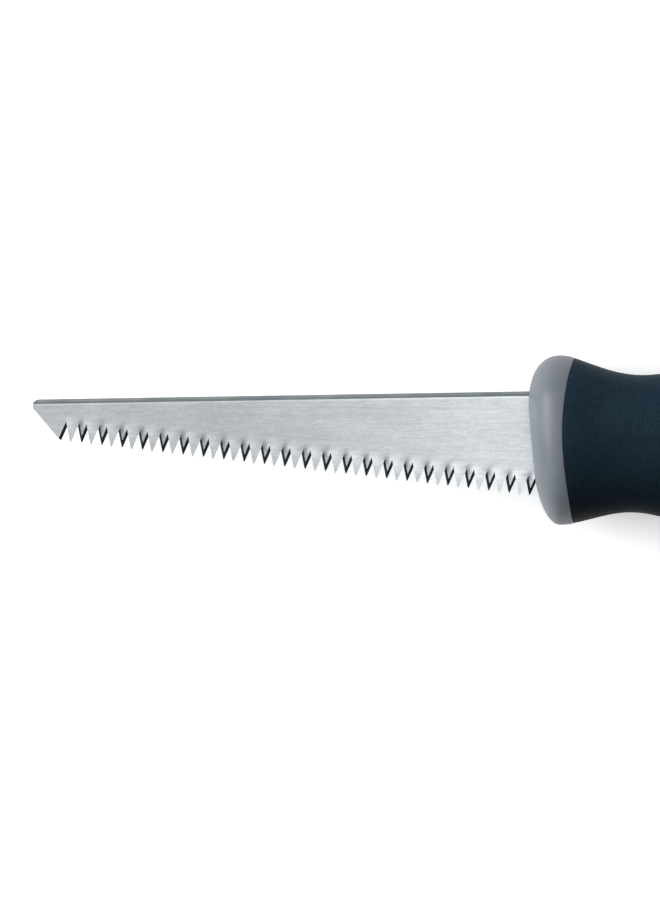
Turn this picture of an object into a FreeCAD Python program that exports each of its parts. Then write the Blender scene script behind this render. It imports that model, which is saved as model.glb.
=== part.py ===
"""Fixed-blade drywall saw (jab saw).

A stamped carbon-steel blade with a plunge point and cross-cut teeth is riveted by its hidden tang between
two hollow core halves. A hard nose collar and a butt cap close the core's ends, and a rubber grip is moulded
over it.

The saw lies on its side, as it does on a bench: +X runs from the toe of the blade to the butt, +Y from the
teeth to the spine, +Z is up. The origin is under the middle of the saw, on the surface that it lies on.

The shapes are drawn in handle coordinates: x = 0 where the nose meets the blade, y = 0 on the nose's centre
line and z = 0 in the middle of the blade's thickness. place() moves them into the part's own frame.
"""
import FreeCAD, Part
import math
import os

Vec = FreeCAD.Vector
Z_AXIS = Vec(0, 0, 1)

# Blade, mm and degrees
blade_thickness = 1.5
spine_height = 15.05            # spine above the nose's centre line, where the blade enters the nose
spine_fall = 0.9                # slope of the spine, down towards the toe
spine_bevel = (1.4, 0.35)       # ground bevel on both faces: width down the face, depth into the thickness
teeth_per_inch = 8
tooth_count = 47
last_tooth = (0.4, -17.2)       # point of the tooth nearest the nose
tooth_line_rise = 6.7           # slope of the tooth line, up towards the toe
tooth_depth = 4.8               # tooth point to the clear bottom of a gullet
fleam = 0.95                    # how far each gullet is filed askew through the thickness
tooth_set = 0.5                 # sideways bend of each tooth point
toe_angle = 50.0                # slope of the cut from the toe to the first tooth
toe_radius = 1.9

# Tang, hidden in the handle
shoulder_x = 8.0
tang_front = (11.5, -11.0)      # top and bottom edge at the shoulder
tang_end_x = 101.0
tang_rear = (3.6, -9.8)         # top and bottom edge at the rear end

# Handle outline: x, top edge, bottom edge, half width
stations = [
    (10.0, 26.15, -26.15, 19.0),    # crest of the nose
    (16.0, 24.80, -25.30, 18.2),
    (23.0, 22.30, -23.55, 17.1),
    (30.0, 20.55, -22.45, 16.3),    # waist, for thumb and forefinger
    (36.0, 20.15, -22.80, 16.1),
    (43.0, 20.85, -24.30, 16.5),
    (55.0, 22.30, -26.70, 17.5),
    (70.0, 22.80, -27.60, 18.0),    # palm swell
    (96.0, 21.20, -26.40, 16.8),
    (114.0, 20.30, -25.60, 15.9),   # neck
    (134.0, 23.00, -29.50, 19.0),   # crest of the butt
]
section_fullness = 0.09         # 0 is an ellipse, more is squarer
nose_lean = 0.085               # the nose's front face leans back this much per mm downwards
nose_front = 0.95               # x of that face on the centre line
nose_roundness = 2.2            # exponent of the rim's curve, 2 is an ellipse
nose_flat = 0.3                 # share of the nose's height that stays flat
butt_x = 145.0
butt_flat = 0.2

# Handle pieces
grip_thickness = 3.4
core_wall = 2.6
core_span = (6.5, 122.0)
cavity_span = (10.5, 118.0)
rib_spots = (42.0, 74.0, 105.0)
rib_thickness = 2.0
nose_seam = [(16.8, 30.0), (13.2, 24.0), (11.3, 17.0), (10.2, 5.0), (11.1, -8.5), (12.9, -21.0),
             (14.9, -32.0)]
butt_seam = [(116.6, 30.0), (119.6, 14.0), (120.8, -3.0), (119.8, -20.0), (117.0, -35.0)]
locating_pins = [(33.0, 12.0), (33.0, -14.0), (112.0, 10.0), (112.0, -16.0)]
locating_pin = (1.6, 3.0)       # radius, length
locating_boss_radius = 3.6
pin_clearance = 0.1
pin_root = 1.0                  # how far a locating pin reaches back into its boss

# Rivets that hold the tang between the core halves
rivet_spots = [(25.0, -0.3), (58.0, -1.6), (90.0, -2.8)]
rivet_radius = 2.5
rivet_seat = 10.5               # height of each rivet's seat above the middle of the blade
rivet_head = (4.6, 1.3, 0.9)    # radius, thickness, rounding of its edge
rivet_bore = (1.5, 6.0)         # hollow end: radius, depth
clinch = (3.6, 0.8)             # rolled end: radius, thickness
washer = (4.8, 0.8)             # outer radius, thickness
boss_radius = 7.5
counterbore_radius = 5.4

# Hanging hole through the butt
hang_hole = (131.5, -4.0)
hang_radius = 4.2
hang_boss_radius = 7.0
hang_recess = (6.5, 17.3)       # radius, height of its floor above the middle of the blade
cap_pocket = [(121.0, 5.8), (132.0, 5.4), (137.0, 7.0), (140.5, 12.0)]   # x, inset from the outline

RING_POINTS = 24
END_RINGS = 8
RING_SPACING = 6.2
SETTLING_ROUNDS = 40
BEYOND = 60.0                   # reach of the cutting tools past the handle
PAST_BLADE = 5.0                # reach of the bevel tools past the toe
ABOVE_BLADE = 1.0               # and past the blade's thickness


# ------------------------------------------------------------------ helpers

def slopes(xs, values):
    """Slopes at the points of the smoothest curve through the values that is level at both ends."""
    widths = [b - a for a, b in zip(xs, xs[1:])]
    steps = [(b - a) / width for a, b, width in zip(values, values[1:], widths)]
    found = [0.0] * len(xs)
    for _ in range(SETTLING_ROUNDS):
        for i in range(1, len(xs) - 1):
            before, after = widths[i - 1], widths[i]
            pull = 3 * (after * steps[i - 1] + before * steps[i])
            found[i] = (pull - after * found[i - 1] - before * found[i + 1]) / (2 * (before + after))
    return found


def smooth(xs, values, x):
    """Value at x of the smooth curve through the values, held level past its ends."""
    x = min(max(x, xs[0]), xs[-1])
    i = max(k for k in range(len(xs) - 1) if xs[k] <= x)
    tangents = slopes(xs, values)
    width = xs[i + 1] - xs[i]
    t = (x - xs[i]) / width
    start = values[i] * (1 + 2 * t) * (1 - t) ** 2 + tangents[i] * width * t * (1 - t) ** 2
    end = values[i + 1] * t * t * (3 - 2 * t) - tangents[i + 1] * width * t * t * (1 - t)
    return start + end


def outline(x, inset=0.0):
    """Top edge, bottom edge and half width of the handle at x, drawn in by the inset."""
    xs, tops, bottoms, halves = zip(*stations)
    return smooth(xs, tops, x) - inset, smooth(xs, bottoms, x) + inset, smooth(xs, halves, x) - inset


def ring(top, bottom, half_width, place_x):
    """Closed smooth section of the handle. place_x gives x for each height, so a section may lean."""
    middle, half_height = (top + bottom) / 2, (top - bottom) / 2
    points = []
    for k in range(RING_POINTS):
        angle = 2 * math.pi * k / RING_POINTS
        c, s = math.cos(angle), math.sin(angle)
        y = middle + half_height * c * (1 + section_fullness * s * s)
        z = half_width * s * (1 + section_fullness * c * c)
        points.append(Vec(place_x(y), y, z))
    curve = Part.BSplineCurve()
    knots = [k / RING_POINTS for k in range(RING_POINTS + 1)]       # shared by all rings, for even lofts
    curve.interpolate(Points=points, PeriodicFlag=True, Parameters=knots)
    return Part.Wire(curve.toShape())


def upright_ring(x, inset=0.0):
    return ring(*outline(x, inset), lambda y: x)


def rim_curve(share):
    """0 on the flat of an end face, 1 on its crest, following the rim's rounding in between."""
    return 1 - (1 - share ** nose_roundness) ** (1 / nose_roundness)


def end_rings(crest_x, flat, face_x):
    """Sections from the flat of an end face out to its crest, the crest left out."""
    top, bottom, half = outline(crest_x)
    middle = (top + bottom) / 2
    rings = []
    for k in range(END_RINGS):
        share = math.sin(math.pi / 2 * k / END_RINGS)
        size, back = flat + (1 - flat) * share, rim_curve(share)
        rings.append(ring(middle + (top - middle) * size, middle + (bottom - middle) * size, half * size,
                          lambda y, back=back: (1 - back) * face_x(y) + back * crest_x))
    return rings


def spread(start, end, spacing):
    """Evenly spaced values from start to end, at about the spacing."""
    count = max(1, round((end - start) / spacing))
    return [start + (end - start) * k / count for k in range(count + 1)]


def loft(rings):
    return Part.makeLoft(rings, True, False)


def post(spot, radius, low, high):
    """Upright round post over a spot of the blade's plane."""
    return Part.makeCylinder(radius, high - low, Vec(spot[0], spot[1], low), Z_AXIS)


def at(point, z):
    return Vec(point[0], point[1], z)


def zone(seam, far_x):
    """Everything on one side of a seam, out to far_x."""
    curve = Part.BSplineCurve()
    curve.interpolate([Vec(x, y, -BEYOND) for x, y in seam])
    last, first = seam[-1], seam[0]
    corners = [last, (far_x, last[1]), (far_x, first[1]), first]
    around = Part.makePolygon([at(corner, -BEYOND) for corner in corners])
    edge = Part.Wire([curve.toShape()] + around.Edges)
    return Part.Face(edge).extrude(Vec(0, 0, 2 * BEYOND))


def slab(low_x, high_x, low_z=-BEYOND, high_z=BEYOND):
    return Part.makeBox(high_x - low_x, 2 * BEYOND, high_z - low_z, Vec(low_x, -BEYOND, low_z))


# ------------------------------------------------------------------ blade

pitch = 25.4 / teeth_per_inch
gullet_lean = tooth_depth / (pitch / 2)                 # height over half width of a tooth
root_height = (pitch + fleam) / 2 * gullet_lean         # tooth line to the root of the bevels
half_thickness = blade_thickness / 2


def along_teeth(u, v):
    """Point u along the tooth line from the last tooth towards the toe, and v out from the bevels' root."""
    rise = math.radians(tooth_line_rise)
    u_axis, v_axis = (-math.cos(rise), math.sin(rise)), (-math.sin(rise), -math.cos(rise))
    out = v - root_height
    return tuple(last_tooth[i] + u * u_axis[i] + out * v_axis[i] for i in range(2))


def crossing(point_a, way_a, point_b, way_b):
    """Where two lines of the blade's plane cross."""
    dx, dy = point_b[0] - point_a[0], point_b[1] - point_a[1]
    cross = way_a[0] * way_b[1] - way_a[1] * way_b[0]
    step = (dx * way_b[1] - dy * way_b[0]) / cross
    return point_a[0] + way_a[0] * step, point_a[1] + way_a[1] * step


def spine_at(x):
    return spine_height + x * math.tan(math.radians(spine_fall))


toe_way = (-math.cos(math.radians(toe_angle)), math.sin(math.radians(toe_angle)))
spine_way = (math.cos(math.radians(spine_fall)), math.sin(math.radians(spine_fall)))
toe_point = along_teeth((tooth_count - 1) * pitch, root_height)
toe_corner = crossing(toe_point, toe_way, (0, spine_height), spine_way)


def toe_x():
    """The blade's furthest reach, on the rounded corner between spine and toe."""
    half_angle = math.radians(toe_angle + spine_fall) / 2
    lean = math.radians(toe_angle - spine_fall) / 2
    return toe_corner[0] + toe_radius / math.sin(half_angle) * math.cos(lean) - toe_radius


def face(*corners):
    return Part.Face(Part.makePolygon(list(corners) + [corners[0]]))


def root_points(side):
    """The bottoms of the gullets on one face of the blade, from nose to toe. side is 1 or -1 in z."""
    points = []
    for k in range(tooth_count):
        wider = side if k % 2 else -side            # every other tooth is wider on this face
        points.append(along_teeth(k * pitch - (pitch + wider * fleam) / 2, 0))
    return points


def toe_flank_tip(side):
    """Where the first tooth's filed flank meets the toe on one face."""
    root, far_root = root_points(side)[-1], root_points(-1)[-1]
    flank_way = (toe_point[0] - far_root[0], toe_point[1] - far_root[1])
    return crossing(root, flank_way, toe_point, toe_way)


def plate_outline(side):
    """Flat of the blade and tang on one face, without the bent teeth."""
    root_way = (-math.cos(math.radians(tooth_line_rise)), math.sin(math.radians(tooth_line_rise)))
    shoulder_bottom = crossing(along_teeth(0, 0), root_way, (shoulder_x, 0), (0, 1))
    return [toe_corner, toe_flank_tip(side)] + root_points(side)[::-1] + [
        shoulder_bottom, (shoulder_x, tang_front[1]), (tang_end_x, tang_rear[1]), (tang_end_x, tang_rear[0]),
        (shoulder_x, tang_front[0]), (shoulder_x, spine_at(shoulder_x))]


def tooth_faces(k):
    """The four filed and bent faces of one tooth. Every other tooth leans up, the rest down."""
    up = 1 if k % 2 else -1
    faces, roots, tips = [], {}, {}
    for side in (1, -1):
        half_width = (pitch + side * up * fleam) / 2
        reach = half_width * gullet_lean
        bend = up * tooth_set * reach / root_height
        corners = [along_teeth(k * pitch + way * half_width, 0) for way in (-1, 1)]
        roots[side] = [at(corner, side * half_thickness) for corner in corners]
        tips[side] = at(along_teeth(k * pitch, reach), side * half_thickness + bend)
        faces.append(face(roots[side][0], roots[side][1], tips[side]))
    for way in (0, 1):
        faces.append(face(roots[1][way], roots[-1][way], tips[-1], tips[1]))
    return faces


def blade():
    """Toothed plate and tang in one piece: bevelled spine, rounded toe, and holes for the rivets."""
    near, far = plate_outline(1), plate_outline(-1)
    faces = [face(*[at(p, half_thickness) for p in near]), face(*[at(p, -half_thickness) for p in far])]
    for k in range(tooth_count - 1):
        faces += tooth_faces(k)
    plain_corners = range(-7, 3)        # round the tang, the spine and the toe to the first tooth's flank
    for a, b in zip(plain_corners, plain_corners[1:]):
        faces.append(face(at(near[a], half_thickness), at(near[b], half_thickness),
                          at(far[b], -half_thickness), at(far[a], -half_thickness)))
    shell = Part.makeShell(faces)
    shell.sewShape()
    solid = Part.makeSolid(shell)
    if solid.Volume < 0:
        solid.reverse()
    solid = solid.cut(toe_corner_tool())
    for side in (1, -1):
        solid = solid.cut(bevel_tool(side))
    for spot in rivet_spots:
        solid = solid.cut(post(spot, rivet_radius, -blade_thickness, blade_thickness))
    return solid


def toe_corner_tool():
    """What the rounding between spine and toe takes away."""
    half_angle = math.radians(toe_angle + spine_fall) / 2
    lean = math.radians(toe_angle - spine_fall) / 2
    to_centre = toe_radius / math.sin(half_angle)
    to_tangent = toe_radius / math.tan(half_angle)
    centre = (toe_corner[0] + to_centre * math.cos(lean), toe_corner[1] - to_centre * math.sin(lean))
    on_spine = (toe_corner[0] + to_tangent * spine_way[0], toe_corner[1] + to_tangent * spine_way[1])
    on_toe = (toe_corner[0] - to_tangent * toe_way[0], toe_corner[1] - to_tangent * toe_way[1])
    past = (toe_corner[0] - to_tangent * math.cos(lean), toe_corner[1] + to_tangent * math.sin(lean))
    corners = [at(p, -blade_thickness) for p in (past, on_toe, centre, on_spine)]
    wedge = face(*corners).extrude(Vec(0, 0, 2 * blade_thickness))
    return wedge.cut(post(centre, toe_radius, -2 * blade_thickness, 2 * blade_thickness))


def bevel_tool(side):
    """Wedge that grinds the bevel along the spine on one face, as far as the nose."""
    width, depth = spine_bevel
    slope = width / depth
    above = half_thickness + ABOVE_BLADE
    section = [(0.0, half_thickness - depth), (-width, half_thickness), (slope * ABOVE_BLADE - width, above),
               (slope, above), (slope, half_thickness - depth)]
    start = toe_corner[0] - PAST_BLADE
    points = [Vec(start, spine_at(start) + y, side * z) for y, z in section]
    length = (shoulder_x - start) / spine_way[0]
    return face(*points).extrude(Vec(spine_way[0] * length, spine_way[1] * length, 0))


# ------------------------------------------------------------------ handle

def envelope():
    """The whole handle's outer shape, from the flat of the nose to the flat of the butt."""
    nose = end_rings(stations[0][0], nose_flat, lambda y: nose_front - nose_lean * y)
    body = [upright_ring(x) for x in spread(stations[0][0], stations[-1][0], RING_SPACING)]
    butt = end_rings(stations[-1][0], butt_flat, lambda y: butt_x)
    return loft(nose + body + butt[::-1])


def inner_form(span, inset):
    """Form inside the handle's outline, flat at both ends: the core's outside, or the hollow in it."""
    return loft([upright_ring(x, inset) for x in spread(span[0], span[1], RING_SPACING)])


def core(core_form, steel):
    """Hollow core with ribs and bosses, cut to fit the tang and the rivets. Still in one piece."""
    cavity = inner_form(cavity_span, grip_thickness + core_wall)
    for x in rib_spots:
        cavity = cavity.cut(slab(x - rib_thickness / 2, x + rib_thickness / 2))
    for spot in rivet_spots:
        cavity = cavity.cut(post(spot, boss_radius, -BEYOND, BEYOND))
    for spot in locating_pins:
        cavity = cavity.cut(post(spot, locating_boss_radius, -BEYOND, BEYOND))
    body = core_form.cut(cavity).cut(steel)
    for spot in rivet_spots:
        body = body.cut(post(spot, rivet_radius, -BEYOND, BEYOND))
        body = body.cut(post(spot, counterbore_radius, rivet_seat, BEYOND))
        body = body.cut(post(spot, counterbore_radius, -BEYOND, -rivet_seat))
    return body


def core_half(body, side):
    """One half of the core. The upper half carries the locating pins, and the lower one their sockets."""
    low, high = (0, BEYOND) if side > 0 else (-BEYOND, 0)
    half = body.common(slab(-BEYOND, butt_x + BEYOND, low, high))
    radius, length = locating_pin
    for spot in locating_pins:
        if side > 0:
            half = half.fuse(post(spot, radius, -length, pin_root))
        else:
            half = half.cut(post(spot, radius + pin_clearance, -length - pin_clearance, pin_root))
    return half.removeSplitter()


def butt_cap(outer, core_form):
    """Hollow cap over the rear of the core, with a bored boss for hanging the saw up."""
    cap = outer.common(zone(butt_seam, butt_x + BEYOND))
    pocket = loft([upright_ring(x, inset) for x, inset in cap_pocket])
    pocket = pocket.cut(post(hang_hole, hang_boss_radius, -BEYOND, BEYOND))
    cap = cap.cut(core_form).cut(pocket)
    radius, floor = hang_recess
    cap = cap.cut(post(hang_hole, hang_radius, -BEYOND, BEYOND))
    cap = cap.cut(post(hang_hole, radius, floor, BEYOND))
    return cap.cut(post(hang_hole, radius, -BEYOND, -floor))


# ------------------------------------------------------------------ rivets

def rivet(spot):
    """Semi-tubular rivet: domed head above, hollow end rolled over a washer below."""
    head_radius, head_height, head_edge = rivet_head
    rolled_radius, rolled_height = clinch
    end = rivet_seat + washer[1]
    shank = post(spot, rivet_radius, -end, rivet_seat)
    head = post(spot, head_radius, rivet_seat, rivet_seat + head_height)
    circles = [edge for edge in head.Edges if edge.Curve.TypeId == "Part::GeomCircle"]
    head = head.makeFillet(head_edge, [max(circles, key=lambda edge: edge.CenterOfMass.z)])
    rolled = post(spot, rolled_radius, -end - rolled_height, -end)
    body = shank.fuse([head, rolled]).removeSplitter()
    return body.cut(post(spot, rivet_bore[0], -end - rolled_height, -end - rolled_height + rivet_bore[1]))


def rivet_washer(spot):
    radius, height = washer
    return post(spot, radius, -rivet_seat - height, -rivet_seat).cut(post(spot, rivet_radius, -BEYOND, 0))


# ------------------------------------------------------------------ assembly

def place(shape):
    """Moves a shape from handle coordinates into the part's own frame."""
    highest = max(s[1] for s in stations)
    lowest = min(s[2] for s in stations)
    widest = max(s[3] for s in stations)
    return shape.translated(Vec(-(toe_x() + butt_x) / 2, -(highest + lowest) / 2, widest))


def save(name, solids):
    """Writes one node, a single solid or a group of like ones, and reports its volume."""
    shape = place(solids[0] if len(solids) == 1 else Part.makeCompound(solids))
    if not shape.isValid():
        raise ValueError(name + " is not a valid solid")
    shape.exportStep(os.path.join("parts", name + ".step"))
    box = shape.BoundBox
    print("%-14s %d solid(s) %9.1f mm3  x %.2f..%.2f  y %.2f..%.2f  z %.2f..%.2f" % (
        name, len(shape.Solids), shape.Volume, box.XMin, box.XMax, box.YMin, box.YMax, box.ZMin, box.ZMax))


def main():
    os.makedirs("parts", exist_ok=True)
    steel = blade()
    outer = envelope()
    core_form = inner_form(core_span, grip_thickness)
    nose_zone = zone(nose_seam, -BEYOND)
    butt_zone = zone(butt_seam, butt_x + BEYOND)
    core_body = core(core_form, steel)
    save("blade", [steel])
    save("nose_collar", [outer.common(nose_zone).cut(core_form).cut(steel)])
    save("grip_sleeve", [outer.cut(nose_zone).cut(butt_zone).cut(core_form)])
    save("butt_cap", [butt_cap(outer, core_form)])
    save("core_upper", [core_half(core_body, 1)])
    save("core_lower", [core_half(core_body, -1)])
    save("tang_rivets", [rivet(spot) for spot in rivet_spots])
    save("rivet_washers", [rivet_washer(spot) for spot in rivet_spots])


main()
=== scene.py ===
"""Looks of a fixed-blade drywall saw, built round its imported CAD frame.

The saw lies on its side. Shapes are drawn in handle coordinates, in millimetres, as in the CAD
source: x = 0 where the nose meets the blade, y = 0 on the nose's centre line, z = 0 in the middle
of the blade. place() moves a point into the frame, in metres. The blade, nose collar, grip and
butt cap are new pieces. The core, rivets and washers stay as CAD made them, inside the handle,
and get their materials here.
"""
import math

import bmesh
import bpy
from mathutils import Matrix, Vector
from mathutils.geometry import tessellate_polygon


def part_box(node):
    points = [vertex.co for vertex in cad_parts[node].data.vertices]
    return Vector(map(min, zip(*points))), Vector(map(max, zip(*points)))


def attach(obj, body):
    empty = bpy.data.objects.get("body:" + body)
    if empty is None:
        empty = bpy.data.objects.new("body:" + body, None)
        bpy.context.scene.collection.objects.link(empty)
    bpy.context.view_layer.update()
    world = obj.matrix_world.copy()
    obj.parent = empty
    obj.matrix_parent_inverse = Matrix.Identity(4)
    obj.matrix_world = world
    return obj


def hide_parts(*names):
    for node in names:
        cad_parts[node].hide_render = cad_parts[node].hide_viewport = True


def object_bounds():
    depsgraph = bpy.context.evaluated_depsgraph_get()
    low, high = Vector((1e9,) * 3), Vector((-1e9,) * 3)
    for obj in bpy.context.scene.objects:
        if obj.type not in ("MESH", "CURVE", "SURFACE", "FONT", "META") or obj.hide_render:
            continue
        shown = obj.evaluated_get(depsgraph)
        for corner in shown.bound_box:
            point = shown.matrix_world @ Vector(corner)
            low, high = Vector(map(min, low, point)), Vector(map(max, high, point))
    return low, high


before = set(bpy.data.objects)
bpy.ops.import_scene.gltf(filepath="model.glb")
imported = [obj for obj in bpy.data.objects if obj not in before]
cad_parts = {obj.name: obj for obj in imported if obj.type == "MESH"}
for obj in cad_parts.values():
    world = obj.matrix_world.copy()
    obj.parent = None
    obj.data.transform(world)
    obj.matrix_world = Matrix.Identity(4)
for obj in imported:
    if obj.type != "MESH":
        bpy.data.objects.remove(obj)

CAD_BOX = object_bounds()

# Handle outline: x, top edge, bottom edge, half width
STATIONS = [
    (10.0, 26.15, -26.15, 19.0),
    (16.0, 24.80, -25.30, 18.2),
    (23.0, 22.30, -23.55, 17.1),
    (30.0, 20.55, -22.45, 16.3),
    (36.0, 20.15, -22.80, 16.1),
    (43.0, 20.85, -24.30, 16.5),
    (55.0, 22.30, -26.70, 17.5),
    (70.0, 22.80, -27.60, 18.0),
    (96.0, 21.20, -26.40, 16.8),
    (114.0, 20.30, -25.60, 15.9),
    (134.0, 23.00, -29.50, 19.0),
]
FULLNESS = 0.09                 # of a section: 0 is an ellipse, more is squarer
NOSE_LEAN = 0.085               # the front face leans back this much per mm downwards
NOSE_FRONT = 0.95               # x of that face on the centre line
ROUNDNESS = 2.2                 # exponent of the curve of both ends' rims, 2 is an ellipse
NOSE_FLAT = 0.3                 # share of the nose's height that stays flat
BUTT_X = 145.0
BUTT_FLAT = 0.2                 # the same share for the butt
NOSE_CREST = STATIONS[0][0]
BUTT_CREST = STATIONS[-1][0]
# Seams of the rubber: y, x
NOSE_SEAM = [(-32.0, 14.9), (-21.0, 12.9), (-8.5, 11.1), (5.0, 10.2), (17.0, 11.3), (24.0, 13.2),
             (30.0, 16.8)]
BUTT_SEAM = [(-35.0, 117.0), (-20.0, 119.8), (-3.0, 120.8), (14.0, 119.6), (30.0, 116.6)]

# Blade
THICKNESS = 1.5
SPINE_HEIGHT = 15.05            # at the nose
SPINE_FALL = math.radians(0.9)  # towards the toe
PITCH = 25.4 / 8                # 8 teeth per inch
TEETH = 47
LAST_TOOTH = (0.4, -17.2)       # point of the tooth nearest the nose
TOOTH_RISE = math.radians(6.7)  # towards the toe
TOOTH_DEPTH = 4.8               # tooth point to the clear bottom of a gullet
FLEAM = 0.95                    # how far each gullet is filed askew through the thickness
SET = 0.5                       # sideways bend of each tooth point
TOE_ANGLE = math.radians(50.0)  # slope of the cut from the toe to the first tooth
TOE_RADIUS = 1.9
SHOULDER_X = 8.0                # where the blade narrows to its tang
TANG_FRONT = (11.5, -11.0)      # top and bottom edge at the shoulder
TANG_END_X = 101.0
TANG_REAR = (3.6, -9.8)         # top and bottom edge at the rear end
RIVETS = [(25.0, -0.3), (58.0, -1.6), (90.0, -2.8)]
RIVET_RADIUS = 2.5

# Hanging hole
HOLE = (131.5, -4.0)
HOLE_RADIUS = 4.2
RECESS = (6.5, 17.3)            # radius, height of its floor

WALL = 3.4                      # rubber, collar and cap over the core
CORE_FRONT = 6.5
CORE_REAR = 122.0
AROUND = 224                    # points round a section of the handle
END_ROWS = 26                   # rows on a rounded end
LIP_ROWS = 5                    # rows round the edge of a piece at a seam
SETTLING_ROUNDS = 40            # passes that a smooth curve's slopes take to settle
SEAM_PASSES = 6                 # passes that a point on a curved seam takes to settle
SHARP_ANGLE = 35                # degrees between faces above which an edge stays sharp
WELD_DISTANCE = 1e-7            # metres
MM = 0.001


# ------------------------------------------------------------------ numbers and points

SHIFT = Vector((CAD_BOX[1].x / MM - BUTT_X,
                -(max(s[1] for s in STATIONS) + min(s[2] for s in STATIONS)) / 2,
                sum(corner.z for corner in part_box("blade")) / 2 / MM))


def place(point):
    """From handle millimetres to the frame's metres."""
    return (Vector(point) + SHIFT) * MM


def mix(a, b, share):
    """a where share is 0, b where it is 1, and in proportion between."""
    return a + (b - a) * share


def ease(low, high, x):
    """0 below low, 1 above high, smooth in between."""
    t = min(max((x - low) / (high - low), 0.0), 1.0)
    return t * t * (3 - 2 * t)


def smooth_curve(points, level_ends=True):
    """The smoothest function through (x, value) points, level at both ends or free to run on
    straight."""
    xs = [p[0] for p in points]
    values = [p[1] for p in points]
    widths = [b - a for a, b in zip(xs, xs[1:])]
    steps = [(b - a) / width for a, b, width in zip(values, values[1:], widths)]
    slopes = [0.0] * len(xs)
    for _ in range(SETTLING_ROUNDS):
        for i in range(1, len(xs) - 1):
            before, after = widths[i - 1], widths[i]
            pull = 3 * (after * steps[i - 1] + before * steps[i])
            slopes[i] = (pull - after * slopes[i - 1] - before * slopes[i + 1]) / (2 * (before + after))
        if not level_ends:
            slopes[0] = (3 * steps[0] - slopes[1]) / 2
            slopes[-1] = (3 * steps[-1] - slopes[-2]) / 2

    def value_at(x):
        x = min(max(x, xs[0]), xs[-1])
        i = max(k for k in range(len(widths)) if xs[k] <= x)
        t = (x - xs[i]) / widths[i]
        start = values[i] * (1 + 2 * t) * (1 - t) ** 2 + slopes[i] * widths[i] * t * (1 - t) ** 2
        end = values[i + 1] * t * t * (3 - 2 * t) - slopes[i + 1] * widths[i] * t * t * (1 - t)
        return start + end

    return value_at


OUTLINE = [smooth_curve([(station[0], station[i]) for station in STATIONS]) for i in (1, 2, 3)]
NOSE_SEAM_X = smooth_curve(NOSE_SEAM, level_ends=False)
BUTT_SEAM_X = smooth_curve(BUTT_SEAM, level_ends=False)


# ------------------------------------------------------------------ meshes

class Shape:
    """Points and faces of one piece, in handle millimetres. Each face carries the number of its
    finish."""

    def __init__(self):
        self.points = []
        self.faces = []
        self.finishes = []

    def add(self, points):
        """Adds points and returns their numbers."""
        first = len(self.points)
        self.points += [Vector(p) for p in points]
        return list(range(first, len(self.points)))

    def face(self, corners, finish=0):
        self.faces.append(corners)
        self.finishes.append(finish)

    def strip(self, row, other, closed=False, finish=0):
        """Quads between two rows of equal length."""
        ends = range(len(row) if closed else len(row) - 1)
        for i in ends:
            j = (i + 1) % len(row)
            self.face([row[i], row[j], other[j], other[i]], finish)

    def fan(self, row, centre, flip=False):
        """Triangles from a closed row to one point."""
        tip = self.add([centre])[0]
        for i in range(len(row)):
            pair = [row[i], row[(i + 1) % len(row)]]
            self.face((pair[::-1] if flip else pair) + [tip])

    def piece(self, name, materials, sharp_angle=SHARP_ANGLE):
        """Makes the object, in the frame's metres."""
        mesh = bpy.data.meshes.new(name)
        mesh.from_pydata([place(p) for p in self.points], [], self.faces)
        for material in materials:
            mesh.materials.append(material)
        mesh.polygons.foreach_set("material_index", self.finishes)
        weld(mesh)
        piece = bpy.data.objects.new(name, mesh)
        bpy.context.scene.collection.objects.link(piece)
        smooth_shade(piece, sharp_angle)
        return piece


def weld(mesh):
    """Joins points that fall together, which also removes faces without area."""
    working = bmesh.new()
    working.from_mesh(mesh)
    bmesh.ops.remove_doubles(working, verts=working.verts, dist=WELD_DISTANCE)
    working.to_mesh(mesh)
    working.free()


def smooth_shade(piece, sharp_angle):
    """Smooth surfaces that stay sharp where faces meet at more than an angle."""
    piece.data.polygons.foreach_set("use_smooth", [True] * len(piece.data.polygons))
    piece.data.set_sharp_from_angle(angle=math.radians(sharp_angle))


def cut(piece, tool):
    """Takes the tool's shape out of a piece, and removes the tool."""
    modifier = piece.modifiers.new("cut", "BOOLEAN")
    modifier.operation = "DIFFERENCE"
    modifier.solver = "EXACT"
    modifier.object = tool
    graph = bpy.context.evaluated_depsgraph_get()
    mesh = bpy.data.meshes.new_from_object(piece.evaluated_get(graph))
    piece.modifiers.clear()
    piece.data = mesh
    bpy.data.objects.remove(tool)
    smooth_shade(piece, SHARP_ANGLE)


# ------------------------------------------------------------------ handle

def ring_point(top, bottom, half_width, angle):
    """y and z of a point on a section of the handle. Angle 0 is on the spine side, and a quarter
    turn is up."""
    c, s = math.cos(angle), math.sin(angle)
    y = (top + bottom) / 2 + (top - bottom) / 2 * c * (1 + FULLNESS * s * s)
    return y, half_width * s * (1 + FULLNESS * c * c)


def outline(x):
    """Top edge, bottom edge and half width of the handle at x."""
    return tuple(edge(x) for edge in OUTLINE)


def skin(x, angle, sunk=0.0):
    """Point of the handle's surface between the crests of nose and butt."""
    top, bottom, half = outline(x)
    return (x,) + ring_point(top - sunk, bottom + sunk, half - sunk, angle)


def end_skin(size, back, crest_x, face_x, angle):
    """Point of a rounded end. size shrinks the crest's section, and back goes from 0 on the end
    face to 1 at the crest."""
    top, bottom, half = outline(crest_x)
    middle = (top + bottom) / 2
    y, z = ring_point(mix(middle, top, size), mix(middle, bottom, size), half * size, angle)
    return (mix(face_x(y), crest_x, back), y, z)


def nose_face(y):
    """x of the leaning front face."""
    return NOSE_FRONT - NOSE_LEAN * y


def butt_face(y):
    """x of the upright rear face, the same at every height."""
    return BUTT_X


def angles():
    """Even turns round a section."""
    return [2 * math.pi * k / AROUND for k in range(AROUND)]


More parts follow.
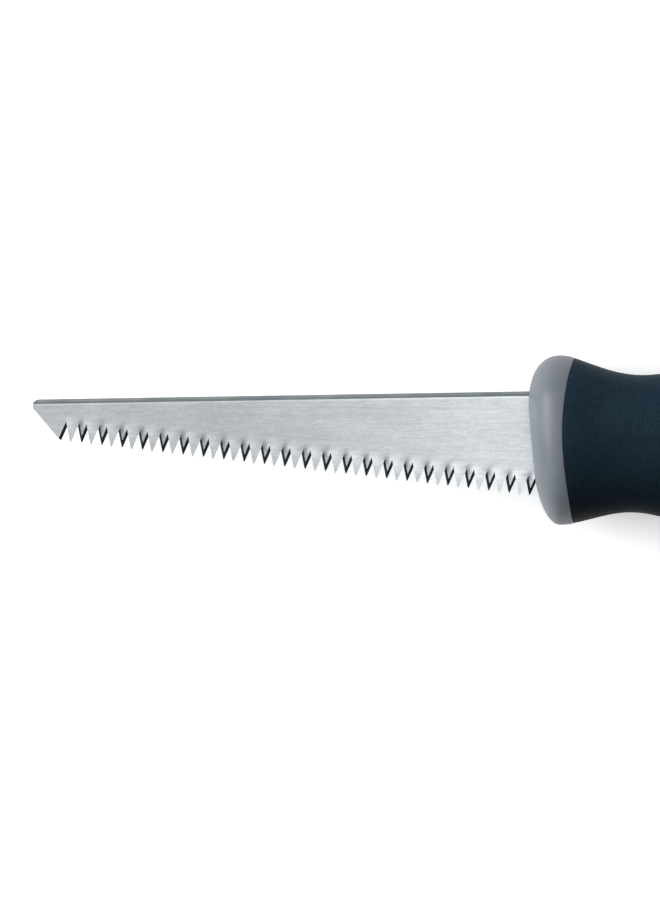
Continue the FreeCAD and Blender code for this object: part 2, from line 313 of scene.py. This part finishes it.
def seam_spots(seam_x, sunk=0.0):
    """x where the handle's surface crosses a seam, for each angle round it."""
    spots = []
    for angle in angles():
        x = seam_x(0.0)
        for _ in range(SEAM_PASSES):
            x = seam_x(skin(x, angle, sunk)[1])
        spots.append(x)
    return spots


def end_rows(shape, crest_x, face_x, flat):
    """Rows from the middle of an end face out to its crest, the crest left out."""
    rows = []
    for size in (flat * 0.25, flat * 0.5, flat * 0.75):
        rows.append(shape.add([end_skin(size, 0.0, crest_x, face_x, a) for a in angles()]))
    for k in range(END_ROWS):
        share = math.sin(math.pi / 2 * k / END_ROWS)
        back = 1 - (1 - share ** ROUNDNESS) ** (1 / ROUNDNESS)
        size = mix(flat, 1.0, share)
        rows.append(shape.add([end_skin(size, back, crest_x, face_x, a) for a in angles()]))
    return rows


def lip_rows(shape, seam_x, side, radius, sunk=0.0):
    """Rows round the edge of a piece at a seam, from its outer surface to the joint face. side is
    +1 if the piece ends there and -1 if it starts there."""
    spots = seam_spots(seam_x)
    rows = []
    for k in range(LIP_ROWS + 1):
        turn = math.pi / 2 * k / LIP_ROWS
        along = -side * radius * (1 - math.sin(turn))
        deep = sunk + radius * (1 - math.cos(turn))
        rows.append(shape.add([skin(x + along, a, deep) for x, a in zip(spots, angles())]))
    inner = seam_spots(seam_x, WALL)
    rows.append(shape.add([skin(x, a, WALL) for x, a in zip(inner, angles())]))
    return rows


def body_rows(shape, starts, ends, spacing, depth):
    """Rows along the handle from one x to another for each angle. depth(x, angle) is how far the
    surface is sunk."""
    count = max(2, round(abs(sum(ends) - sum(starts)) / len(starts) / spacing))
    rows = []
    for k in range(count + 1):
        points = []
        for start, end, angle in zip(starts, ends, angles()):
            x = mix(start, end, k / count)
            points.append(skin(x, angle, depth(x, angle)))
        rows.append(shape.add(points))
    return rows


def join_rows(shape, rows):
    """Joins each closed row to the next."""
    for row, other in zip(rows, rows[1:]):
        shape.strip(row, other, closed=True)


def bare(x, angle):
    """Depth of a surface that lies on the handle's outline."""
    return 0.0


def at_core(x, angle):
    """Depth of a surface that lies on the core."""
    return WALL


def nose_collar(material):
    """Hard collar: leaning front face, round rim, and a soft edge where the rubber starts."""
    shape = Shape()
    lip = 0.3
    front = end_rows(shape, NOSE_CREST, nose_face, NOSE_FLAT)
    crest = [NOSE_CREST] * AROUND
    past_crest = NOSE_CREST + 0.02
    short_of_seam = [max(x - lip, past_crest) for x in seam_spots(NOSE_SEAM_X)]
    body = body_rows(shape, crest, short_of_seam, 0.6, bare)[:-1]
    edge = lip_rows(shape, NOSE_SEAM_X, 1, lip)
    seam_at_core = seam_spots(NOSE_SEAM_X, WALL)
    inside = body_rows(shape, seam_at_core, [CORE_FRONT] * AROUND, 1.0, at_core)[1:]
    rows = front + body + edge + inside
    join_rows(shape, rows)
    middle = (STATIONS[0][1] + STATIONS[0][2]) / 2
    shape.fan(rows[0], (nose_face(middle), middle, 0), flip=True)
    shape.fan(rows[-1], (CORE_FRONT, middle, 0))
    piece = shape.piece("saw_nose_collar", [material])
    cut(piece, blade_slot(material))
    return piece


def blade_slot(material):
    """Tool for the slot that the blade passes through, with round ends and a little play."""
    play = 0.12
    steps = 8
    front, rear = -8.0, CORE_FRONT + 2.0
    half = THICKNESS / 2 + play
    top = SPINE_HEIGHT + play
    bottom = along_teeth(0, 0)[1] - TOOTH_DEPTH - play
    section = []
    for centre, turn in ((top - half, 0.0), (bottom + half, math.pi)):
        for k in range(steps + 1):
            angle = turn + math.pi * k / steps
            section.append((centre + half * math.sin(angle), half * math.cos(angle)))
    shape = Shape()
    rows = [shape.add([(x, y, z) for y, z in section]) for x in (front, rear)]
    shape.strip(rows[0], rows[1], closed=True)
    shape.face(rows[0][::-1])
    shape.face(rows[1])
    return shape.piece("slot_tool", [material])


def tread(x, angle):
    """Depth of the shallow chevron grooves on both flat sides of the palm swell."""
    first, spacing, count = 53.0, 6.0, 8
    width, deepest, swept = 1.9, 0.55, 5.0
    lean = swept * math.cos(angle) ** 2
    nearest = min(max(round((x - lean - first) / spacing), 0), count - 1)
    away = abs(x - lean - first - nearest * spacing)
    across = math.cos(math.pi / 2 * min(away / (width / 2), 1.0)) ** 2
    fade = 1 - ease(0.62, 0.80, abs(math.cos(angle)))
    return deepest * across * fade


def grip_sleeve(material):
    """Rubber sleeve between the two seams, a hair lower than the hard pieces it meets."""
    shape = Shape()
    lip, lowered = 0.35, 0.12
    starts = [x + lip for x in seam_spots(NOSE_SEAM_X)]
    ends = [x - lip for x in seam_spots(BUTT_SEAM_X)]

    def depth(x, angle):
        return lowered + tread(x, angle)

    front = lip_rows(shape, NOSE_SEAM_X, -1, lip, lowered)[::-1]
    body = body_rows(shape, starts, ends, 0.55, depth)[1:-1]
    back = lip_rows(shape, BUTT_SEAM_X, 1, lip, lowered)
    rear_at_core = seam_spots(BUTT_SEAM_X, WALL)
    front_at_core = seam_spots(NOSE_SEAM_X, WALL)
    inside = body_rows(shape, rear_at_core, front_at_core, 3.0, at_core)[1:-1]
    rows = front + body + back + inside
    join_rows(shape, rows)
    shape.strip(rows[-1], rows[0], closed=True)
    return shape.piece("saw_grip_sleeve", [material])


def butt_cap(material):
    """Hard cap over the rear of the core, with the hanging hole through it."""
    shape = Shape()
    lip = 0.3
    edge = lip_rows(shape, BUTT_SEAM_X, -1, lip)[::-1]
    starts = [x + lip for x in seam_spots(BUTT_SEAM_X)]
    body = body_rows(shape, starts, [BUTT_CREST] * AROUND, 0.8, bare)[1:]
    end = end_rows(shape, BUTT_CREST, butt_face, BUTT_FLAT)[::-1]
    seam_at_core = seam_spots(BUTT_SEAM_X, WALL)
    inside = body_rows(shape, [CORE_REAR] * AROUND, seam_at_core, 1.0, at_core)[:-1]
    rows = inside + edge + body + end
    join_rows(shape, rows)
    middle = (STATIONS[-1][1] + STATIONS[-1][2]) / 2
    shape.fan(rows[0], (CORE_REAR, middle, 0), flip=True)
    shape.fan(rows[-1], (BUTT_X, middle, 0))
    piece = shape.piece("saw_butt_cap", [material])
    cut(piece, hole_tool(material))
    return piece


def circle(centre, radius, z, steps):
    """Points of a level circle."""
    points = []
    for k in range(steps):
        turn = 2 * math.pi * k / steps
        points.append((centre[0] + radius * math.cos(turn), centre[1] + radius * math.sin(turn), z))
    return points


def hole_tool(material):
    """Tool for the hanging hole: a round bore that opens into a shallow dish at each mouth."""
    dish_radius, floor = RECESS
    mouth_round, mouth_steps = 0.7, 6
    corner = 0.5                    # rounding between the dish's floor and its side
    flare_height, flare_width = 4.0, 2.0
    steps = 64
    profile = []
    for k in range(mouth_steps + 1):
        turn = math.pi / 2 * k / mouth_steps
        drop = mouth_round * (1 - math.sin(turn))
        profile.append((floor - drop, HOLE_RADIUS + mouth_round * (1 - math.cos(turn))))
    profile.append((floor, dish_radius - corner))
    profile.append((floor + 0.3 * corner, dish_radius - 0.24 * corner))
    profile.append((floor + corner, dish_radius))
    profile.append((floor + flare_height, dish_radius + flare_width))
    heights = [(-z, radius) for z, radius in reversed(profile)] + profile
    shape = Shape()
    rows = [shape.add(circle(HOLE, radius, z, steps)) for z, radius in heights]
    join_rows(shape, rows)
    shape.face(rows[0][::-1])
    shape.face(rows[-1])
    return shape.piece("hole_tool", [material])


# ------------------------------------------------------------------ blade

BRUSHED, FILED, SPINE_SHADE, SPINE_TOP = range(4)
GULLET_LEAN = TOOTH_DEPTH / (PITCH / 2)
ROOT_HEIGHT = (PITCH + FLEAM) / 2 * GULLET_LEAN
NARROW_REACH = 0.60             # how far a tooth's narrow face reaches, as a share of the tooth
BEND = (-2.3, 4.2)              # stretch that a set tooth is bent over, measured out from its root
BAND = (-3.2, -2.5, -2.0, -1.55, -1.15, -0.75, -0.35)     # rows of the plate above the roots
ACROSS_TOOTH = 8                # quads across a tooth's face, and down it
DOWN_TOOTH = 10
TIP_WIDTH = (0.30, 0.10)        # blunt point of the wide face, and of the narrow one
FLANK_HOLLOW = 1.06             # above 1, the edges of a tooth's face bow inwards
TIP_ROUND = 0.8                 # how much the blunt point is rounded off, 1 for fully
FREE_LENGTH = 1.8               # from its root, where a tooth's bend no longer fades to its sides
TOE_STEPS = 18                  # steps round the toe's corner, and along the spine
SPINE_STEPS = 40
BLADE_SHARP_ANGLE = 14          # lower than elsewhere, so that the bevels stay crisp
RIVET_HOLE_STEPS = 32
# Ground bevel of the spine: depth below its edge, how far the face is lowered, finish down to the next
SPINE_ROWS = [
    (0.0, 0.35, SPINE_TOP),
    (0.70, 0.19, SPINE_SHADE),
    (1.36, 0.065, BRUSHED),
    (1.90, 0.0, None),
]


def along_teeth(u, v):
    """Point u along the tooth line from the tooth at the nose towards the toe, and v out from the
    roots of the teeth."""
    out = v - ROOT_HEIGHT
    c, s = math.cos(TOOTH_RISE), math.sin(TOOTH_RISE)
    return (LAST_TOOTH[0] - u * c - out * s, LAST_TOOTH[1] + u * s - out * c)


def crossing(point_a, way_a, point_b, way_b):
    """Where two lines of the blade's plane cross."""
    dx, dy = point_b[0] - point_a[0], point_b[1] - point_a[1]
    cross = way_a[0] * way_b[1] - way_a[1] * way_b[0]
    step = (dx * way_b[1] - dy * way_b[0]) / cross
    return (point_a[0] + way_a[0] * step, point_a[1] + way_a[1] * step)


TOE_WAY = (-math.cos(TOE_ANGLE), math.sin(TOE_ANGLE))
SPINE_WAY = (math.cos(SPINE_FALL), math.sin(SPINE_FALL))
TOE_POINT = along_teeth((TEETH - 1) * PITCH, ROOT_HEIGHT)
TOE_CORNER = crossing(TOE_POINT, TOE_WAY, (0, SPINE_HEIGHT), SPINE_WAY)


def lean_of(k):
    """1 for a tooth that is set up and -1 for one set down. They alternate, the one at the nose
    down."""
    return 1 if k % 2 else -1


def half_width(k, side):
    """Of tooth k at its root, on one face of the blade."""
    return (PITCH + side * lean_of(k) * FLEAM) / 2


def bend(v):
    """How far a set tooth has left the blade's plane, v out from its root."""
    return SET * ease(*BEND, v)


def tooth_point(k, side, share, down):
    """Point on one face of tooth k. share runs from -1 to 1 across the face. down is a distance
    above its root where negative, and the share of the way from root to point where positive."""
    wide = side == lean_of(k)
    reach = ROOT_HEIGHT * (1.0 if wide else NARROW_REACH)
    tip = TIP_WIDTH[0 if wide else 1] / 2
    v = down * reach if down > 0 else down
    width = half_width(k, side)
    if down > 0:
        width = mix(width, tip, down ** FLANK_HOLLOW)
        blunt = tip / reach
        width *= math.sqrt(1 - TIP_ROUND * ease(1 - blunt, 1.0, down) ** 2)
    free = ease(0.0, FREE_LENGTH, v)
    lift = mix(math.cos(math.pi / 2 * share), 1.0, free) * bend(v) * lean_of(k)
    return along_teeth(k * PITCH + share * width, v) + (side * THICKNESS / 2 + lift,)


def tooth_rows(shape, side):
    """The band of plate above the teeth and all set teeth on one face. Returns the rim of the band
    for the plate, and each tooth's rows."""
    shares = [2 * i / ACROSS_TOOTH - 1 for i in range(ACROSS_TOOTH + 1)]
    band = []
    for v in BAND + (0.0,):
        row = []
        for k in range(TEETH - 1):
            own = shares if k == TEETH - 2 else shares[:-1]
            row += [tooth_point(k, side, s, v) for s in own]
        band.append(shape.add(row))
    for row, other in zip(band, band[1:]):
        quad_strip(shape, row, other, side)
    teeth = []
    for k in range(TEETH - 1):
        rows = [band[-1][k * ACROSS_TOOTH:(k + 1) * ACROSS_TOOTH + 1]]
        for j in range(1, DOWN_TOOTH + 1):
            down = math.sin(math.pi / 2 * j / DOWN_TOOTH)
            rows.append(shape.add([tooth_point(k, side, s, down) for s in shares]))
        for row, other in zip(rows, rows[1:]):
            quad_strip(shape, row, other, side)
        teeth.append(rows)
    rim = [row[0] for row in band[::-1]] + band[0][1:-1] + [row[-1] for row in band]
    return rim, teeth


def quad_strip(shape, row, other, side, finish=BRUSHED):
    """A strip whose faces look up on the upper side of the blade and down on the lower one."""
    if side > 0:
        shape.strip(other, row, finish=finish)
    else:
        shape.strip(row, other, finish=finish)


def edge_path():
    """Points along the blade's edge from the toe's cut, round the corner, to the shoulder. Each
    comes with its depth below the line of the spine."""
    half_angle = (TOE_ANGLE + SPINE_FALL) / 2
    lean = (TOE_ANGLE - SPINE_FALL) / 2
    to_centre = TOE_RADIUS / math.sin(half_angle)
    centre = (TOE_CORNER[0] + to_centre * math.cos(lean), TOE_CORNER[1] - to_centre * math.sin(lean))
    first = math.pi * 1.5 - TOE_ANGLE
    last = math.pi / 2 + SPINE_FALL
    points = []
    for k in range(TOE_STEPS + 1):
        turn = mix(first, last, k / TOE_STEPS)
        points.append((centre[0] + TOE_RADIUS * math.cos(turn),
                       centre[1] + TOE_RADIUS * math.sin(turn)))
    start = points[-1][0]
    for k in range(1, SPINE_STEPS + 1):
        x = mix(start, SHOULDER_X, k / SPINE_STEPS)
        points.append((x, SPINE_HEIGHT + x * math.tan(SPINE_FALL)))
    return [(p, (SPINE_HEIGHT - p[1]) * SPINE_WAY[0] + p[0] * SPINE_WAY[1]) for p in points]


def spine_drop(depth):
    """How far the ground bevel has lowered the face, at a depth below the spine's edge."""
    for (near, high, _), (far, low, _) in zip(SPINE_ROWS, SPINE_ROWS[1:]):
        if depth < far:
            return mix(high, low, (depth - near) / (far - near))
    return 0.0


def spine_rows(shape, side):
    """Rows along the spine from its outer edge to the flat of the plate. The rounded toe cuts into
    them."""
    rows = []
    for offset, _, _ in SPINE_ROWS:
        points = []
        for point, depth in edge_path():
            depth = max(depth, 0.0)
            extra = max(offset - depth, 0.0)
            x, y = point[0] + SPINE_WAY[1] * extra, point[1] - SPINE_WAY[0] * extra
            points.append((min(x, SHOULDER_X), y, side * (THICKNESS / 2 - spine_drop(depth + extra))))
        rows.append(shape.add(points))
    for row, other, (_, _, finish) in zip(rows, rows[1:], SPINE_ROWS):
        quad_strip(shape, row, other, -side, finish)
    return rows


def flank_tip(side):
    """Where the filed flank of the tooth at the toe meets the toe's cut on one face."""
    root = along_teeth((TEETH - 1) * PITCH - half_width(TEETH - 1, side), 0)
    far_root = along_teeth((TEETH - 1) * PITCH - half_width(TEETH - 1, -1), 0)
    way = (TOE_POINT[0] - far_root[0], TOE_POINT[1] - far_root[1])
    return crossing(root, way, TOE_POINT, TOE_WAY)


def tang_outline():
    """Corners of the tang, from the spine side of the shoulder round to the tooth side."""
    root_line = along_teeth(0, 0)
    slope = -math.tan(TOOTH_RISE)
    shoulder_bottom = (SHOULDER_X, root_line[1] + (SHOULDER_X - root_line[0]) * slope)
    return [(SHOULDER_X, TANG_FRONT[0]), (TANG_END_X, TANG_REAR[0]), (TANG_END_X, TANG_REAR[1]),
            (SHOULDER_X, TANG_FRONT[1]), shoulder_bottom]


def plate(shape, side, rim, spine):
    """The flat of the blade on one face, pierced for the rivets. Returns the rows that its walls
    start from."""
    z = side * THICKNESS / 2
    tip = shape.add([flank_tip(side) + (z,)])
    tang = shape.add([p + (z,) for p in tang_outline()])
    holes = [shape.add(circle(spot, RIVET_RADIUS, z, RIVET_HOLE_STEPS)) for spot in RIVETS]
    loop = rim + tip + spine[-1] + tang
    loops = [loop] + holes
    flat = [index for one in loops for index in one]
    for triangle in tessellate_polygon([[shape.points[i] for i in one] for one in loops]):
        corners = [flat[i] for i in triangle]
        a, b, c = (shape.points[i] for i in corners)
        upward = (b - a).cross(c - a).z * side > 0
        shape.face(corners if upward else corners[::-1])
    return tip, tang, holes


def blade(materials):
    """Toothed plate with its tang: ground bevel along the spine, plunge point, and alternately set
    teeth."""
    shape = Shape()
    all_teeth, all_holes, walls = [], [], []
    for side in (1, -1):
        rim, teeth = tooth_rows(shape, side)
        spine = spine_rows(shape, side)
        tip, tang, holes = plate(shape, side, rim, spine)
        all_teeth.append(teeth)
        all_holes.append(holes)
        last_flank = [rim[-1]] + tip
        toe = tip + [spine[0][0]]
        shoulder = [row[-1] for row in spine] + tang + [rim[0]]
        walls.append([(last_flank, FILED), (toe, BRUSHED), (spine[0], SPINE_TOP), (shoulder, BRUSHED)])
    for upper, lower in zip(*all_teeth):
        rear = [[row[0] for row in rows[::-1]] for rows in (upper, lower)]
        front = [[row[-1] for row in rows] for rows in (upper, lower)]
        point = [rows[-1][::-1] for rows in (upper, lower)]
        for high, low in (rear, front, point):
            shape.strip(high, low, finish=FILED)
    for (high, finish), (low, _) in zip(*walls):
        shape.strip(high, low, finish=finish)
    for high, low in zip(*all_holes):
        shape.strip(high, low, closed=True)
    return shape.piece("saw_blade", materials, BLADE_SHARP_ANGLE)


# ------------------------------------------------------------------ materials

def put(tree, kind, links=None, values=None, **settings):
    """Adds a shader node, with its settings, its constant inputs and its links."""
    node = tree.nodes.new("ShaderNode" + kind)
    for name, value in settings.items():
        setattr(node, name, value)
    for name, value in (values or {}).items():
        node.inputs[name].default_value = value
    for name, socket in (links or {}).items():
        tree.links.new(socket, node.inputs[name])
    return node


def new_material(name, constants):
    """A material with a Principled shader whose constant sockets are set, and its texture
    coordinates."""
    material = bpy.data.materials.new(name)
    material.use_nodes = True
    tree = material.node_tree
    tree.nodes.clear()
    shader = put(tree, "BsdfPrincipled", values=constants)
    output = put(tree, "OutputMaterial")
    tree.links.new(shader.outputs["BSDF"], output.inputs["Surface"])
    coordinates = put(tree, "TexCoord").outputs["Object"]
    return material, tree, shader, coordinates


def grain(tree, coordinates, scale, detail=3.0, roughness=0.55):
    """Noise with its own scale along each axis, in features per metre."""
    stretched = put(tree, "Mapping", {"Vector": coordinates}, {"Scale": scale})
    noise = put(tree, "TexNoise", {"Vector": stretched.outputs["Vector"]},
                {"Scale": 1.0, "Detail": detail, "Roughness": roughness})
    return noise.outputs["Fac"]


def ramp(tree, value, stops):
    """Colour ramp between two (position, colour) stops."""
    node = put(tree, "ValToRGB", {"Fac": value})
    for element, (position, colour) in zip(node.color_ramp.elements, stops):
        element.position = position
        element.color = tuple(colour) + (1.0,)
    return node.outputs["Color"]


def spread(tree, value, low, high, from_low=0.3, from_high=0.7):
    """Maps a value, a noise unless its own range is given, to a range."""
    node = put(tree, "MapRange", {"Value": value},
               {"From Min": from_low, "From Max": from_high, "To Min": low, "To Max": high})
    return node.outputs["Result"]


def multiply(tree, colour, shade):
    """Darkens or lightens a colour by a value."""
    node = put(tree, "Mix", data_type="RGBA", blend_type="MULTIPLY")
    node.inputs[0].default_value = 1.0
    tree.links.new(colour, node.inputs[6])
    tree.links.new(shade, node.inputs[7])
    return node.outputs[2]


def bump(tree, shader, height, distance, strength):
    """Gives the surface a relief of the given depth, in metres."""
    node = put(tree, "Bump", {"Height": height}, {"Distance": distance, "Strength": strength})
    tree.links.new(node.outputs["Normal"], shader.inputs["Normal"])


def brushed_steel():
    """Bright plate, brushed along its length and mottled, with a few long scratches, and painted
    shade and light: darker towards the toe and brighter near the handle."""
    material, tree, shader, at = new_material("brushed_plate_steel", {"Metallic": 1.0})
    fine = grain(tree, at, (240, 1700, 1700), detail=4.0, roughness=0.65)
    mottle = grain(tree, at, (900, 1300, 1300), detail=3.0)
    cloud = grain(tree, at, (40, 110, 110), detail=3.0)
    scratches = grain(tree, at, (9, 1100, 1100), detail=1.0)
    along = put(tree, "SeparateXYZ", {"Vector": at}).outputs["X"]
    colour = ramp(tree, fine, [(0.30, (0.555, 0.59, 0.613)), (0.70, (0.705, 0.73, 0.747))])
    colour = multiply(tree, colour, spread(tree, mottle, 0.93, 1.05))
    colour = multiply(tree, colour, spread(tree, cloud, 0.93, 1.05))
    colour = multiply(tree, colour, spread(tree, scratches, 1.0, 0.94, 0.60, 0.72))
    # Painted shade and light: darkens towards the toe and brightens near the handle, for the plate's
    # changing reflection.
    colour = multiply(tree, colour, spread(tree, along, 0.75, 1.17, -0.09, 0.0))
    tree.links.new(colour, shader.inputs["Base Color"])
    tree.links.new(spread(tree, mottle, 0.30, 0.40), shader.inputs["Roughness"])
    bump(tree, shader, fine, 0.000008, 0.6)
    return material


def filed_steel():
    """Filed flanks of the teeth with file marks across them, painted near-black as a dark reflection.
    """
    constants = {"Metallic": 0.0, "Specular IOR Level": 0.04}
    material, tree, shader, at = new_material("filed_tooth_steel", constants)
    marks = grain(tree, at, (2400, 2400, 500), detail=3.0)
    # Painted reflection: the near-black colour stands for the dark surroundings that the bare filed
    # steel reflects.
    colour = ramp(tree, marks, [(0.3, (0.004, 0.011, 0.013)), (0.7, (0.013, 0.025, 0.028))])
    tree.links.new(colour, shader.inputs["Base Color"])
    tree.links.new(spread(tree, marks, 0.40, 0.58), shader.inputs["Roughness"])
    bump(tree, shader, marks, 0.000006, 0.5)
    return material


def spine_steel(name, dark, light):
    """Steel of the spine's bevel, streaked along the blade, with painted shade for the dark reflection
    it shows.
    """
    material, tree, shader, at = new_material(name, {"Metallic": 0.85})
    streaks = grain(tree, at, (60, 1800, 1800), detail=4.0)
    patches = grain(tree, at, (160, 300, 300), detail=2.0)
    colour = ramp(tree, streaks, [(0.3, dark), (0.7, light)])
    colour = multiply(tree, colour, spread(tree, patches, 0.82, 1.12))
    tree.links.new(colour, shader.inputs["Base Color"])
    tree.links.new(spread(tree, patches, 0.38, 0.55), shader.inputs["Roughness"])
    bump(tree, shader, streaks, 0.000010, 0.5)
    return material


def satin_plastic(name):
    """Hard grey plastic with a fine moulded texture, paler where edges are rubbed."""
    material, tree, shader, at = new_material(name, {"Specular IOR Level": 0.45})
    pores = grain(tree, at, (3200, 3200, 3200), detail=2.0)
    clouds = grain(tree, at, (90, 90, 90), detail=4.0)
    colour = ramp(tree, clouds, [(0.3, (0.098, 0.112, 0.130)), (0.7, (0.118, 0.132, 0.151))])
    colour = multiply(tree, colour, spread(tree, pores, 0.90, 1.08))
    worn = put(tree, "NewGeometry").outputs["Pointiness"]
    colour = multiply(tree, colour, spread(tree, worn, 0.94, 1.14, 0.46, 0.56))
    tree.links.new(colour, shader.inputs["Base Color"])
    tree.links.new(spread(tree, clouds, 0.40, 0.54), shader.inputs["Roughness"])
    bump(tree, shader, pores, 0.00004, 0.55)
    return material


def grip_rubber():
    """Soft blue-black rubber: fine moulded texture, faint handling marks, and painted shade:
    it darkens towards the tooth side and stays paler on the spine side."""
    material, tree, shader, at = new_material("grip_rubber", {"Specular IOR Level": 0.04})
    pores = grain(tree, at, (1900, 1900, 1900), detail=3.0)
    marks = grain(tree, at, (60, 60, 60), detail=4.0)
    colour = ramp(tree, marks, [(0.3, (0.0085, 0.0195, 0.0305)), (0.7, (0.0125, 0.0270, 0.0405))])
    colour = multiply(tree, colour, spread(tree, pores, 0.65, 1.35))
    # Painted shade: the colour darkens towards the tooth side of the grip, as where less light falls.
    painted_shade_across = put(tree, "SeparateXYZ", {"Vector": at}).outputs["Y"]
    colour = multiply(tree, colour, spread(tree, painted_shade_across, 0.12, 1.0, -0.024, 0.008))
    tree.links.new(colour, shader.inputs["Base Color"])
    tree.links.new(spread(tree, marks, 0.50, 0.66), shader.inputs["Roughness"])
    bump(tree, shader, pores, 0.00010, 0.8)
    return material


def core_nylon():
    """Black glass-filled nylon of the hidden core, with pale fibre flecks."""
    material, tree, shader, at = new_material("core_nylon", {"Specular IOR Level": 0.4})
    fibres = grain(tree, at, (1400, 300, 1400), detail=3.0)
    colour = ramp(tree, fibres, [(0.35, (0.020, 0.021, 0.023)), (0.75, (0.075, 0.076, 0.080))])
    tree.links.new(colour, shader.inputs["Base Color"])
    tree.links.new(spread(tree, fibres, 0.42, 0.60), shader.inputs["Roughness"])
    bump(tree, shader, fibres, 0.00003, 0.5)
    return material


def zinc_plate():
    """Dull zinc plating of rivets and washers, slightly mottled."""
    material, tree, shader, at = new_material("zinc_plate", {"Metallic": 1.0})
    spangle = grain(tree, at, (900, 900, 900), detail=4.0)
    colour = ramp(tree, spangle, [(0.3, (0.38, 0.39, 0.40)), (0.7, (0.60, 0.61, 0.61))])
    tree.links.new(colour, shader.inputs["Base Color"])
    tree.links.new(spread(tree, spangle, 0.30, 0.48), shader.inputs["Roughness"])
    bump(tree, shader, spangle, 0.00002, 0.4)
    return material


def floor_paint():
    """Pale matt acrylic of a light table, faintly lit from inside, with the faintest mottling."""
    constants = {"Roughness": 0.95, "Specular IOR Level": 0.1,
                 "Emission Strength": 0.30, "Emission Color": (1.0, 1.0, 1.0, 1.0)}
    material, tree, shader, at = new_material("studio_floor", constants)
    mottle = grain(tree, at, (14, 14, 14), detail=3.0)
    colour = ramp(tree, mottle, [(0.3, (0.925, 0.925, 0.925)), (0.7, (0.94, 0.94, 0.94))])
    tree.links.new(colour, shader.inputs["Base Color"])
    return material


# ------------------------------------------------------------------ studio

def studio_floor():
    """Plain floor under the saw, wide enough to fill every picture."""
    mesh = bpy.data.meshes.new("studio_floor")
    reach = 12.0
    corners = [(-reach, -reach, 0), (reach, -reach, 0), (reach, reach, 0), (-reach, reach, 0)]
    mesh.from_pydata(corners, [], [(0, 1, 2, 3)])
    mesh.materials.append(floor_paint())
    floor = bpy.data.objects.new("studio_floor", mesh)
    bpy.context.scene.collection.objects.link(floor)


def smooth_range(tree, value, from_low, from_high, low, high):
    """Maps a value from one range to another with a soft start and end."""
    node = put(tree, "MapRange", {"Value": value},
               {"From Min": from_low, "From Max": from_high, "To Min": low, "To Max": high},
               interpolation_type="SMOOTHSTEP")
    return node.outputs["Result"]


def studio_sky():
    """A plain sweep of light: bright towards the toe and the spine side, dim towards the butt and
    the tooth side, and dim near the horizon."""
    brightest_way = (-0.74, 0.68, 0.0)
    dim, bright = (0.24, 0.26, 0.28), (1.45, 1.45, 1.45)
    world = bpy.data.worlds.new("studio")
    bpy.context.scene.world = world
    world.use_nodes = True
    tree = world.node_tree
    tree.nodes.clear()
    way = put(tree, "TexCoord").outputs["Generated"]
    nearness = put(tree, "VectorMath", {0: way}, {1: brightest_way}, operation="DOT_PRODUCT")
    sweep = smooth_range(tree, nearness.outputs["Value"], -0.62, 0.40, 0.0, 1.0)
    height = put(tree, "SeparateXYZ", {"Vector": way}).outputs["Z"]
    dome = smooth_range(tree, height, 0.1, 0.92, 0.20, 1.0)
    colour = multiply(tree, ramp(tree, sweep, [(0.0, dim), (1.0, bright)]), dome)
    light = put(tree, "Background", {"Color": colour}, {"Strength": 1.0})
    output = put(tree, "OutputWorld")
    tree.links.new(light.outputs["Background"], output.inputs["Surface"])


def softbox(name, place_at, aim, width, height, power):
    """A soft rectangular light at one point that faces another, in metres and watts."""
    data = bpy.data.lights.new(name, "AREA")
    data.shape = "RECTANGLE"
    data.size, data.size_y = width, height
    data.energy = power
    light = bpy.data.objects.new(name, data)
    light.location = place_at
    light.rotation_mode = "QUATERNION"
    light.rotation_quaternion = (Vector(aim) - Vector(place_at)).to_track_quat("-Z", "Y")
    bpy.context.scene.collection.objects.link(light)


def camera():
    """Looks down on the blade from a little towards the handle and the spine side, with the toe at
    the left of the picture and the spine above the teeth."""
    distance = 1.1                  # metres
    seen_height = 0.278             # metres between the picture's bottom and top
    target = place((-61.15, -3.08, 0))
    away = Vector((0.05, 0.105, 1.0)).normalized()
    upward = away.cross(Vector((1, 0, 0))).normalized()
    across = upward.cross(away)
    data = bpy.data.cameras.new("camera")
    data.sensor_width = 36.0
    data.lens = data.sensor_width * distance / seen_height
    data.clip_start, data.clip_end = 0.01, 20
    view = bpy.data.objects.new("camera", data)
    turn = Matrix((across, upward, away)).transposed().to_4x4()
    view.matrix_world = Matrix.Translation(target + away * distance) @ turn
    bpy.context.scene.collection.objects.link(view)
    bpy.context.scene.camera = view


# ------------------------------------------------------------------ assembly

def settle(piece, node):
    """A new piece that stands for a CAD node: hung under the root, with the node hidden."""
    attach(piece, "root")
    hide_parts(node)


def finish_node(node, material):
    """Gives a CAD node its material."""
    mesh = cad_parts[node].data
    mesh.materials.clear()
    mesh.materials.append(material)


# In the order of BRUSHED, FILED, SPINE_SHADE and SPINE_TOP. The spine's two facets get a painted-shade
# copy and a painted-light copy of one steel.
steels = [brushed_steel(), filed_steel(),
          spine_steel("spine_steel_painted_shade", (0.115, 0.143, 0.154), (0.18, 0.208, 0.214)),
          spine_steel("spine_steel_painted_light", (0.17, 0.19, 0.195), (0.24, 0.263, 0.27))]
collar_plastic = satin_plastic("collar_plastic")
cap_plastic = satin_plastic("cap_plastic")

settle(blade(steels), "blade")
settle(nose_collar(collar_plastic), "nose_collar")
settle(grip_sleeve(grip_rubber()), "grip_sleeve")
settle(butt_cap(cap_plastic), "butt_cap")

nylon, zinc = core_nylon(), zinc_plate()
for node in ("core_upper", "core_lower"):
    finish_node(node, nylon)
for node in ("tang_rivets", "rivet_washers"):
    finish_node(node, zinc)

studio_floor()
studio_sky()
softbox("key_light", (-1.60, 0.45, 0.80), (0.0, 0, 0.02), 1.1, 0.9, 34.0)
camera()
bpy.context.scene.view_settings.view_transform = "Standard"
